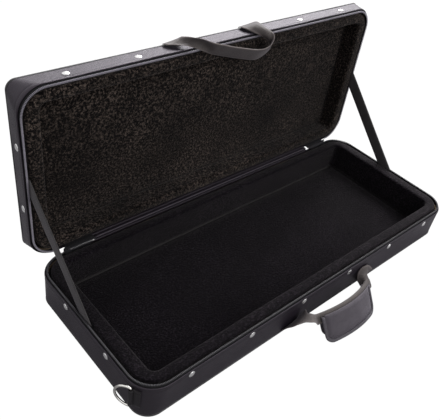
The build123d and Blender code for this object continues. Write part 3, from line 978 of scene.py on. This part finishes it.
@dataclass
class Webbing:
    """A strip of webbing through its stations.

    Attributes:
        stations: Its places, from end to end.
        first_along: The direction along it at its first end.
        last_along: The direction along it at its last end.
        width: Its width in millimetres.
        thickness: Its thickness in millimetres.
        crown: Half the width of the crown between the two sides of its channel.
        steps: How many places each stretch between two stations gets.
        rail_steps: How many parts its width is cut into.
    """

    stations: Sequence[Station] = ()
    first_along: Point = (0, 0, 1)
    last_along: Point = (0, 0, -1)
    width: float = 38.0
    thickness: float = 1.6
    crown: float = 3.5
    steps: int = 5
    rail_steps: int = 16

    def leg(self, fold: float) -> float:
        """The width of each outer side of the fold."""
        flat = 1 - abs(fold) / CHANNEL_DEGREES
        return self.width / 2 - self.crown - (self.width / 4 - self.crown) * flat

    def rail(self, fold: float) -> list[tuple[float, float, float]]:
        """Points across the strip's middle surface with the way its surface faces there."""
        leg, bend, half = self.leg(fold), math.radians(fold), self.width / 2
        sides = ((0.0, leg, 1.5 * bend), (leg, half, 0.5 * bend),
                 (half, self.width - leg, -0.5 * bend), (self.width - leg, self.width, -1.5 * bend))
        line, blur = [], 1.2
        for i in range(self.rail_steps + 1):
            want = self.width * i / self.rail_steps
            x, y = (sum((min(want, end) - start) * way(slope) for start, end, slope in sides if want > start)
                    for way in (math.cos, math.sin))
            near = [min(max(want + off, 0.0), self.width - TINY) for off in (-blur, 0.0, blur)]
            line.append((x, y, sum(slope for at in near for start, end, slope in sides if start <= at < end) / 3))
        mid_x, mid_y, _ = line[self.rail_steps // 2]
        return [(x - mid_x, y - mid_y, slope) for x, y, slope in line]

    def shares(self, spans: int) -> list[tuple[int, float]]:
        """Every place along the strip: the stretch that it is in and the share of that stretch."""
        return [(i, k / self.steps) for i in range(spans) for k in range(self.steps + (i == spans - 1))]

    def frames(self) -> list[Frame]:
        """Smooth places along the strip: centre, across, up and fold, in millimetres."""
        centres = [Vector(s.centre) for s in self.stations]
        last = len(centres) - 1
        alongs, acrosses = [], []
        for i, station in enumerate(self.stations):
            if station.along:
                along = Vector(station.along)
            elif i in (0, last):
                along = Vector(self.first_along if i == 0 else self.last_along)
            else:
                along = centres[i + 1] - centres[i - 1]
            alongs.append(along.normalized())
            acrosses.append(squared(Vector(station.across), alongs[-1]))
        found = []
        for i, t in self.shares(last):
            gap, ease = (centres[i + 1] - centres[i]).length, eased(t)
            a, b, c, d = hermite(t)
            centre = centres[i] * a + alongs[i] * gap * b + centres[i + 1] * c + alongs[i + 1] * gap * d
            along = alongs[i].lerp(alongs[i + 1], t).normalized()
            across = squared(acrosses[i].lerp(acrosses[i + 1], ease), along)
            fold = self.stations[i].fold * (1 - ease) + self.stations[i + 1].fold * ease
            found.append((centre, across, along.cross(across), fold))
        return found

    def build(self) -> BMesh:
        """The strip as a closed skin with thin rounded edges."""
        rings = []
        for centre, across, up, fold in self.frames():
            outer, inner = [], []
            for i, (x, y, angle) in enumerate(self.rail(fold)):
                thick = self.thickness / 2 * (0.55 if i in (0, self.rail_steps) else 1.0)
                outer.append((x - thick * math.sin(angle), y + thick * math.cos(angle)))
                inner.append((x + thick * math.sin(angle), y - thick * math.cos(angle)))
            rings.append([(centre + across * x + up * y) * MM for x, y in outer + inner[::-1]])
        loft = Loft.through(rings)
        self.fold_uv(loft)
        return loft.bm

    def fold_uv(self, loft: Loft) -> None:
        """Brings the back face's UV over the front's, so that both read the width from one edge."""
        layer = loft.bm.loops.layers.uv["UVMap"]
        width = loft.across[self.rail_steps]
        for face in loft.bm.faces:
            for loop in face.loops:
                u, v = loop[layer].uv
                loop[layer].uv = (u if u <= width else max(0.0, 2 * width - u), v)


@dataclass
class EdgedWebbing(Webbing):
    """Webbing whose two edges are given, cupped wherever they come nearer to each other than its width.

    Attributes:
        edges: The left and the right edge's places, in millimetres.
        cup: The most that it cups, in degrees.
        cup_span: How many millimetres nearer its edges come before it cups that much.
    """

    edges: Sequence[tuple[Point, Point]] = ()
    cup: float = 18.0
    cup_span: float = 8.0

    def reach(self, fold: float) -> float:
        """How far apart the edges lie at a fold in degrees."""
        leg, bend = self.leg(fold), math.radians(fold)
        return 2 * (leg * math.cos(1.5 * bend) + (self.width / 2 - leg) * math.cos(0.5 * bend))

    def frames(self) -> list[Frame]:
        """Smooth places along the strip, from its two edges."""
        sides = [[Vector(pair[k]) for pair in self.edges] for k in (0, 1)]
        sides = [[side[0] * 2 - side[1], *side, side[-1] * 2 - side[-2]] for side in sides]
        pairs = []
        for i, t in self.shares(len(self.edges) - 1):
            a, b, c, d = hermite(t)
            pairs.append([near * a + (far - before) * b / 2 + far * c + (after - near) * d / 2
                          for before, near, far, after in (side[i:i + 4] for side in sides)])
        found = []
        for i, (left, right) in enumerate(pairs):
            before, after = pairs[max(i - 1, 0)], pairs[min(i + 1, len(pairs) - 1)]
            along = after[0] + after[1] - before[0] - before[1]
            across = (right - left).normalized()
            up = along.cross(across).normalized()
            chord = (right - left).length
            fold = -self.cup * min(max((self.width - chord) / self.cup_span, 0.0), 1.0)
            centre = (left + right) / 2 - up * self.rail(fold)[0][1]
            found.append((centre, across * (chord / self.reach(fold)), up, fold))
        return found


@dataclass
class CarryHandles:
    """The two webbing handles and the padded grip."""

    shelf: FinishShelf
    grip: GripShape

    def base_strip(self) -> Webbing:
        """The base's handle, folded along its length where the grip wraps it."""
        g = self.grip
        ends = [
            Station((-84, -151.3, 4.9), (1, 0, 0)),
            Station((-84, -155.5, 17), (0.98, 0.15, -0.1)),
            Station((-79, -162.5, 30), (0.85, 0.45, -0.3)),
            Station((-72, -168, 41), (0.6, 0.68, -0.42)),
            Station((-66, -174.5, 47.5), (0.3, 0.8, -0.5), 20),
        ]
        middle = [g.station(u) for u in (-68, -44, -22, 0, 22, 44, 68)]
        far = [
            Station((94, -174.5, 42), (0.1, 0.75, 0.2), 20),
            Station((105, -167, 35), (0.2, 0.45, 0.85)),
            Station((115, -161, 24), (0.6, 0.2, 0.75)),
            Station((124, -156, 14), (0.9, 0.05, 0.35)),
            Station((128, -151.3, 4.9), (1, 0, 0)),
        ]
        return Webbing(ends + middle + far)

    def lid_strip(self) -> Webbing:
        """The lid's handle, arched over the wall and drooping before the rim."""
        rows = [
            ((-124, 200.6, 375.9), (-86, 200.6, 375.9)),
            ((-126, 195, 378.6), (-88.5, 198.5, 381.5)),
            ((-124.5, 187, 380.8), (-91.5, 192, 386.5)),
            ((-119, 181, 382.5), (-92.5, 184, 390)),
            ((-112, 175, 383.2), (-91.5, 175.5, 393)),
            ((-104, 169, 383.2), (-91, 164.5, 396.3)),
            ((-96, 162.5, 382.2), (-88.5, 154.5, 398.6)),
            ((-86.5, 156, 379.5), (-84, 147, 399)),
            ((-70.3, 154.5, 371.7), (-79, 141.5, 397.5)),
            ((-55.5, 154.5, 365.3), (-69.5, 137, 394.3)),
            ((-37.6, 153.3, 359.7), (-52, 134.5, 389.4)),
            ((-13.1, 151.4, 352.2), (-28, 133, 381.9)),
            ((13.3, 149.4, 345.1), (-2.7, 132, 374.9)),
            ((38.6, 148, 339), (21.5, 131.5, 368.7)),
            ((58.9, 150, 339.6), (40.9, 130, 366.5)),
            ((73, 150.6, 345.6), (53.9, 129.5, 370.7)),
            ((80, 151.5, 351.3), (60.9, 131, 375.6)),
            ((80, 152, 359.5), (65.7, 134, 380.7)),
            ((68, 152.5, 368.5), (68.1, 140, 385.2)),
            ((54, 154.5, 376.8), (69.4, 150, 386.5)),
            ((46.5, 162, 380.4), (70.6, 165, 386.5)),
            ((42, 173, 381.6), (73.5, 179, 386.5)),
            ((40, 186, 381), (77.5, 190, 384.8)),
            ((40.3, 195.5, 378.8), (79.3, 198.2, 380.8)),
            ((41.5, 200.6, 375.9), (79.5, 200.6, 375.9)),
        ]
        return EdgedWebbing(edges=rows)

    def flap_outline(self, height: float, inset: float) -> list[tuple[float, float]]:
        """A flap's free edge, moved inwards: (u, up) from the top left round the bottom to the top right."""
        g = self.grip
        half, top, low = g.length / 2 - inset, -g.drop - min(inset, 1.5), -g.drop - height + inset
        r = max(g.corner - inset, 1.0)
        left, right = ([(side * (half - r) + r * math.cos(a), low + r + r * math.sin(a))
                        for a in (math.radians(start + 90 * i / 8) for i in range(9))]
                       for side, start in ((-1, 180), (1, 270)))
        line = [(-half, top + (low + r - top) * i / 6) for i in range(6)] + left
        line += [((half - r) * (i / 7 - 1), low) for i in range(1, 14)] + right
        return line + [(half, low + r + (top - low - r) * i / 6) for i in range(1, 7)]

    def flap(self, name: str, height: float, inner: float, outward: int) -> None:
        """One padded flap: a pillow between its two faces, sewn flat along its bound edge.

        Args:
            name: The CAD node that it stands for.
            height: Its height in millimetres.
            inner: How far back its face against the webbing lies.
            outward: 1 for the flap behind, -1 for the one in front.
        """
        g = self.grip
        columns, rows, margin = 56, 22, 5.2
        half, corner = g.length / 2 - margin, g.corner - margin
        top, low = -g.drop - 0.2, -g.drop - height + margin
        bm = bmesh.new()
        layer = bm.loops.layers.uv.new("UVMap")
        for rise in (1, 0):
            sheet = []
            for j in range(rows + 1):
                up = top + (low - top) * j / rows
                into = max(0.0, corner - (up - low))
                reach = half - (corner - math.sqrt(max(0.0, corner ** 2 - into ** 2)))
                line = []
                for i in range(columns + 1):
                    u = reach * (2 * i / columns - 1)
                    edge = min(reach - abs(u), up - low, (top - up) * 1.6 + 1.5)
                    soft = 0.5 * noise.noise(Vector((u * 0.045, up * 0.08, 2.0 * outward)))
                    pinch = 0.35 * math.exp(-(((up - low) / (top - low) - 0.5) * 9) ** 2)
                    lift = rise * (1.0 + (2.5 + soft - pinch) * eased(edge / 9.0))
                    line.append(bm.verts.new(g.point(u, inner + outward * lift, up)))
                sheet.append(line)
            for j in range(rows):
                for i in range(columns):
                    spots = ((j, i), (j, i + 1), (j + 1, i + 1), (j + 1, i))
                    face = bm.faces.new([sheet[a][b] for a, b in spots])
                    for loop, (a, b) in zip(face.loops, spots):
                        loop[layer].uv = (b * 2 * half / columns * MM, a * (top - low) / rows * MM)
        bmesh.ops.bridge_loops(bm, edges=[e for e in bm.edges if e.is_boundary])
        piece = Piece(name + "_pad", self.shelf.grip, "grip_fabric", "base_handle", (name,)).make(bm)

    def binding(self) -> None:
        """The folded tape round both flaps' sides and lower edge, with its stitches."""
        g = self.grip
        front, back = g.faces
        wide, thick, off = 3.0, 1.85, 1.9
        seam_inset, seam_off, pitch = 5.0, 3.75, 3.4
        section = []
        for i in range(10):
            x, y = turned(2 * math.pi * i / 10).xy
            section.append((wide * math.copysign(abs(x) ** 0.6, x), thick * math.copysign(abs(y) ** 0.7, y)))
        tape, spots = bmesh.new(), []
        for face, sign, height in ((front, -1, g.front_height), (back, 1, g.back_height)):
            middle, depth = face + sign * off, face + sign * seam_off
            rings = []
            for (u, up), (wu, wup) in zip(self.flap_outline(height, wide), self.flap_outline(height, 0.0)):
                out_u, out_up = (wu - u) / wide, (wup - up) / wide
                rings.append([g.point(u + out_u * x, middle + y, up + out_up * x) for x, y in section])
            copies(Loft.through(rings).bm, [Matrix()], tape)
            seam = self.flap_outline(height, seam_inset)
            for (u, up), (next_u, next_up) in zip(seam, seam[1:]):
                step_u, step_up = next_u - u, next_up - up
                count = max(1, round(math.hypot(step_u, step_up) / pitch))
                for share in ((k + 0.5) / count for k in range(count)):
                    here, ahead = (g.point(u + step_u * s, depth, up + step_up * s) for s in (share, share + 0.1))
                    spots.append(facing(here, ahead - here, g.outward(u + step_u * share) * -sign))
        Piece("grip_binding_tape", self.shelf.binding, "grip_binding", "base_handle", ("grip_binding",)).make(tape)
        stitches = copies(stitch_seed(2.5 * MM, 0.6 * MM), spots)
        Piece("grip_stitches", self.shelf.pale_thread, "grip_binding", "base_handle").make(stitches)

    def build(self) -> None:
        """Builds both handles and the grip."""
        for body, strip in (("base_handle", self.base_strip()), ("lid_handle", self.lid_strip())):
            Piece(body + "_webbing", self.shelf.webbing, "handle_webbing", body, (body,)).make(strip.build())
        front, back = self.grip.faces
        self.flap("grip_front_flap", self.grip.front_height, front, -1)
        self.flap("grip_back_flap", self.grip.back_height, back, 1)
        self.binding()


# --- what joins the trays


@dataclass
class TrayLinks:
    """The hinge strip, the zip's tails, the stays, the D-rings and their tabs. Its sizes are in millimetres.

    Attributes:
        shelf: The finishes.
        base: The base tray's form.
        half_length: Half the hinge strip's length.
        tail: How far out from the middle a zip tail starts and ends.
        bar: The middle of the right D-ring's bar.
    """

    shelf: FinishShelf
    base: TrayForm
    half_length: float = 276.0
    tail: tuple[float, float] = (277.0, 331.0)
    bar: Point = (389.84, -123.0, 39.5)

    def hinge_strip(self) -> None:
        """The cloth hinge, sewn to both back walls, bending at its fold."""
        thick, wave, count = 0.5, 0.054, 60
        line = [Vector((y, z, 0)) for y, z in (
            (153.6, 63.6), (153.6, 65.5), (153.65, 67.5), (153.9, 69.2), (154.6, 70.2), (155.8, 70.55),
            (158.5, 70.6), (162.0, 70.6), (165.0, 70.6), (168.0, 70.6))]
        outline = line + beside(line, thick)[::-1]
        rings = []
        for i in range(count + 1):
            x = self.half_length * (2 * i / count - 1)
            sway = wave * math.sin(0.8 * i) * (0 < i < count)
            rings.append([Vector((x, p.x + sway, p.y)) * MM for p in outline])
        cloth = Piece("hinge_cloth", self.shelf.nylon, "nylon_cover", "base", ("hinge_strip",))
        piece = cloth.make(Loft.through(rings, sideways=True).bm, rides=False)
        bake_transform(piece)

    def zip_tail(self, side: int, word: str) -> None:
        """The end of the zip that stays shut beside the hinge: the lid's half teeth and its tape over to the lid."""
        thick, count, teeth_count = 0.8, 24, 25
        first, last = self.tail
        line = [(150.9, 72.5), (151.3, 73.3), (152.3, 73.9), (154.2, 74.0), (156.4, 73.8), (159.0, 73.55),
                (167.0, 73.5)]
        outline = line + [(y, z - thick) for y, z in line[::-1]]
        rings = [[Vector((side * (first + (last - first) * i / count), y, z)) * MM for y, z in outline]
                 for i in range(count + 1)]
        tape = Piece("zip_tail_tape_" + word, self.shelf.tape, "zip_tape", "base")
        piece = tape.make(Loft.through(rings).bm, rides=False)
        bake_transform(piece)
        spots = [Vector((side * (first * MM + TOOTH_PITCH * (i + 0.5)), 149.6 * MM, 73.1 * MM))
                 for i in range(teeth_count)]
        teeth = copies(tooth_seed(), [facing(spot, Vector((1, 0, 0)), Vector((0, 1, 0))) for spot in spots])
        # These tail teeth take the darker coil copy, painted shade.
        Piece("zip_tail_teeth_" + word, self.shelf.coil, "zip_coil", "base").make(teeth, smooth=False)

    def stay(self, side: int, word: str) -> None:
        """One flat stay between the two rims, woven along its length."""
        node = "stay_strap_" + word
        low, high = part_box(node)
        middle = (low.x + high.x) / 2
        start, end = Vector((middle, 10 * MM, 72 * MM)), Vector((middle, 157.6 * MM, 216.0 * MM))
        sewn, sway = 13 * MM, 0.35 * MM
        along = (end - start).normalized()
        across = Vector((0, along.z, -along.y))
        start, end = start - along * sewn, end + along * sewn
        width, thick, count, columns = 25 * MM, 1.5 * MM, 48, 6
        rings = []
        for share in (i / count for i in range(count + 1)):
            centre = start.lerp(end, share)
            centre.x -= side * sway * math.sin(math.pi * share) * math.sin(5 * share)
            ring = []
            for face in (1, -1):
                for k in range(columns + 1):
                    swell = thick / 2 * (0.55 if k in (0, columns) else 1.0)
                    off = face * (k / columns - 0.5) * width
                    ring.append(centre + across * off + Vector((face * swell, 0, 0)))
            rings.append(ring)
        webbing = Piece("stay_webbing_" + word, self.shelf.stay, "stay_webbing", "base", (node,))
        piece = webbing.make(Loft.through(rings).bm, rides=False)
        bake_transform(piece)

    def d_ring(self, side: int, word: str) -> None:
        """One wire D-ring, its bar in the tab's eye."""
        node = "d_ring_" + word
        swing = math.radians(28.5)
        out, up = Vector((side * math.sin(swing), math.cos(swing), 0)), Vector((0, 0, 1))
        normal = out.cross(up)
        wire, half, bend, flat = 1.95, 22.0, 3.0, 19.0
        corner = [(bend - bend * math.cos(a), flat + bend * math.sin(a)) for a in map(math.radians, (22, 45, 68, 88))]
        bow = [(bend + half * math.sin(a), half * math.cos(a)) for a in (math.pi * i / 24 for i in range(1, 24))]
        path = [(0.0, flat * (i / 4 - 1)) for i in range(9)] + corner + bow
        path += [(reach, -rise) for reach, rise in corner[::-1]]
        rings = []
        for i, (reach, rise) in enumerate(path):
            before, after = path[i - 1], path[(i + 1) % len(path)]
            along = (out * (after[0] - before[0]) + up * (after[1] - before[1])).normalized()
            aside = along.cross(normal)
            centre = Vector((side * self.bar[0], *self.bar[1:])) + out * reach + up * rise
            rings.append([(centre + (aside * math.cos(a) + normal * math.sin(a)) * wire) * MM
                          for a in (2 * math.pi * k / 14 for k in range(14))])
        loft = Loft.through(rings, joined=True)
        Piece("ring_wire_" + word, self.shelf.ring, "ring_metal", node, (node,)).make(loft.bm)

    def tab(self, side: int, word: str) -> None:
        """The doubled webbing that holds a D-ring: out along the corner, round the bar and back under."""
        x, y, height = self.bar
        f = self.base
        wall = f.band(height * MM - f.depth, 0)
        radius = wall.radius / MM
        centre = Vector((wall.half_x / MM - radius, radius - wall.half_y / MM, 0))
        bar = Vector((x, y, 0))
        outside, inside, eye, end = radius + 2.65, radius + 1.05, 3.1, -136.0
        first = math.asin((end - centre.y) / outside)
        last = math.atan2(bar.y - centre.y, bar.x - centre.x) - math.radians(4.5)
        angles = [first + (last - first) * i / 11 for i in range(12)]
        going = [centre + turned(a) * outside for a in angles]
        coming = [centre + turned(a) * inside for a in angles[::-1]]
        start, stop = (math.atan2(p.y - bar.y, p.x - bar.x) for p in (going[-1], coming[0]))
        stop += 2 * math.pi
        round_bar = [bar + turned(start + (stop - start) * (i + 0.5) / 16) * eye for i in range(16)]
        line = going + round_bar + coming
        half, thick, count = 19.0, 0.72, 8
        outline = beside(line, thick) + beside(line, -thick)[::-1]
        rings = []
        for rise in (half * (2 * row / count - 1) for row in range(count + 1)):
            spread = 0.7 * rise * f.draft / f.depth
            rings.append([Vector((side * (p.x + spread), p.y - spread, height + rise)) * MM for p in outline])
        tab = Piece("ring_tab_" + word, self.shelf.tab, "handle_webbing", "base", ("d_ring_tab_" + word,))
        tab.make(Loft.through(rings).bm)

    def build(self) -> None:
        """Builds every link: one strip, and the rest at both ends of the case."""
        self.hinge_strip()
        for side, word in ((-1, "left"), (1, "right")):
            for part in (self.zip_tail, self.stay, self.d_ring, self.tab):
                part(side, word)


# --- the studio


@dataclass
class Studio:
    """Camera, floor, sky and soft lamps.

    Attributes:
        focal_pixels: The photograph's focal length, in its own pixels.
        image_width: The photograph's width in pixels.
        sensor: The camera's sensor width in millimetres.
        place: Where the camera stands.
        right: The picture's direction to the right.
        down: The picture's direction downwards.
        forward: The direction that the camera looks.
    """

    focal_pixels: float = 580.156
    image_width: int = 440
    sensor: float = 36.0
    place: Point = (-0.6716, -0.4861, 0.7686)
    right: Point = (0.7461, -0.6518, 0.1358)
    down: Point = (-0.3403, -0.5486, -0.7637)
    forward: Point = (0.5723, 0.5237, -0.6311)

    def camera(self) -> None:
        """The camera at the photograph's own place."""
        data = bpy.data.cameras.new("camera")
        data.sensor_fit = "HORIZONTAL"
        data.sensor_width = self.sensor
        data.lens = self.focal_pixels * self.sensor / self.image_width
        data.clip_start, data.clip_end = 0.05, 60
        camera = shown("camera", data)
        x, y, z = Vector(self.right), -Vector(self.down), -Vector(self.forward)
        rows = [(x[i], y[i], z[i], self.place[i]) for i in range(3)]
        camera.matrix_world = Matrix((*rows, (0, 0, 0, 1)))
        bpy.context.scene.camera = camera

    def lamp(self, name: str, place: Point, target: Point, size: float, power: float) -> None:
        """A square soft lamp that faces a target."""
        data = bpy.data.lights.new(name, "AREA")
        data.shape, data.size, data.energy = "SQUARE", size, power
        lamp = shown(name, data)
        lamp.location = place
        lamp.rotation_euler = (Vector(target) - Vector(place)).to_track_quat("-Z", "Y").to_euler()

    def floor(self) -> None:
        """A wide pale floor that keeps a soft shadow."""
        bm = bmesh.new()
        bmesh.ops.create_grid(bm, x_segments=1, y_segments=1, size=9.0)
        bmesh.ops.translate(bm, verts=bm.verts, vec=(0, 0, -0.4 * MM))
        mesh = baked("studio_floor", bm)
        t = NodeTable(bpy.data.materials.new("pale_floor"))
        matt = t.node("BsdfDiffuse", Color=(0.26, 0.26, 0.26, 1))
        t.blend(t.pale(0.86, 0.1), matt, t.node("Emission", Strength=1.16))
        mesh.materials.append(t.owner)
        floor = shown("studio_floor", mesh)

    def world(self) -> None:
        """A plain even sky, drawn white where the camera sees it."""
        t = NodeTable(bpy.data.worlds.new("studio"), "OutputWorld")
        soft = t.node("Background", Color=(0.95, 0.92, 1.0, 1), Strength=0.35)
        t.blend(t.pale(1.0, 0.85), soft, t.node("Background", Color=(1, 1, 1, 1), Strength=1.0))
        bpy.context.scene.world = t.owner

    def build(self) -> None:
        """Sets up the whole studio."""
        self.camera()
        self.floor()
        self.world()
        self.lamp("key", (1.9, 1.9, 2.4), (0, 0.1, 0.2), 2.4, 160)
        self.lamp("fill", (0.9, -2.2, 1.9), (0.1, 0, 0.15), 1.6, 27)
        bpy.context.scene.view_settings.view_transform = "Standard"


# --- the case


def lid_place() -> Matrix:
    """Where the lid's own axes go: flipped over the base, then turned open about the hinge."""
    hinge = Vector(HINGE)
    flip = Matrix.Translation((0, 0, BASE_DEPTH)) @ Matrix.Rotation(math.pi, 4, "X")
    turn = Matrix.Rotation(math.radians(-OPEN_DEGREES), 4, "X")
    return Matrix.Translation(hinge) @ turn @ Matrix.Translation(-hinge) @ flip


def dress_kept_nodes(nodes: dict[str, Object], shelf: FinishShelf) -> None:
    """Gives each CAD node that stays its finish."""
    finishes = {
        shelf.board: ("base_wall_board", "bottom_board", "lid_wall_board", "top_board"),
        shelf.fastener: ("grip_hook_strip", "grip_loop_strip"),
        shelf.slider: ("zip_slider_left", "zip_slider_right", "zip_pull_left", "zip_pull_right"),
    }
    for finish, names in finishes.items():
        for name in names:
            materials = nodes[name].data.materials
            materials.clear()
            materials.append(finish)
            log.info("%s keeps its CAD shape", name)


def main() -> None:
    """Builds the case's looks round the frame."""
    logging.basicConfig(level=logging.INFO, format="%(message)s")
    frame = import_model()
    shelf = FinishShelf()
    base = TrayForm("base", "bottom", BASE_DEPTH, panel_radius=30 * MM, pad=4 * MM, rivet_drop=15 * MM,
                    hinge_side=1, zip_end=282 * MM, place=Matrix.Translation((0, 0, BASE_DEPTH)))
    lid = TrayForm("lid", "top", LID_DEPTH, panel_radius=14 * MM, pad=2 * MM, rivet_drop=20 * MM,
                   hinge_side=-1, zip_end=342 * MM, place=lid_place())
    for tray in (base, lid):
        TrayLooks(tray, shelf).build()
    CarryHandles(shelf, GripShape()).build()
    TrayLinks(shelf, base).build()
    dress_kept_nodes(frame["nodes"], shelf)
    Studio().build()


if __name__ == "__main__":
    main()
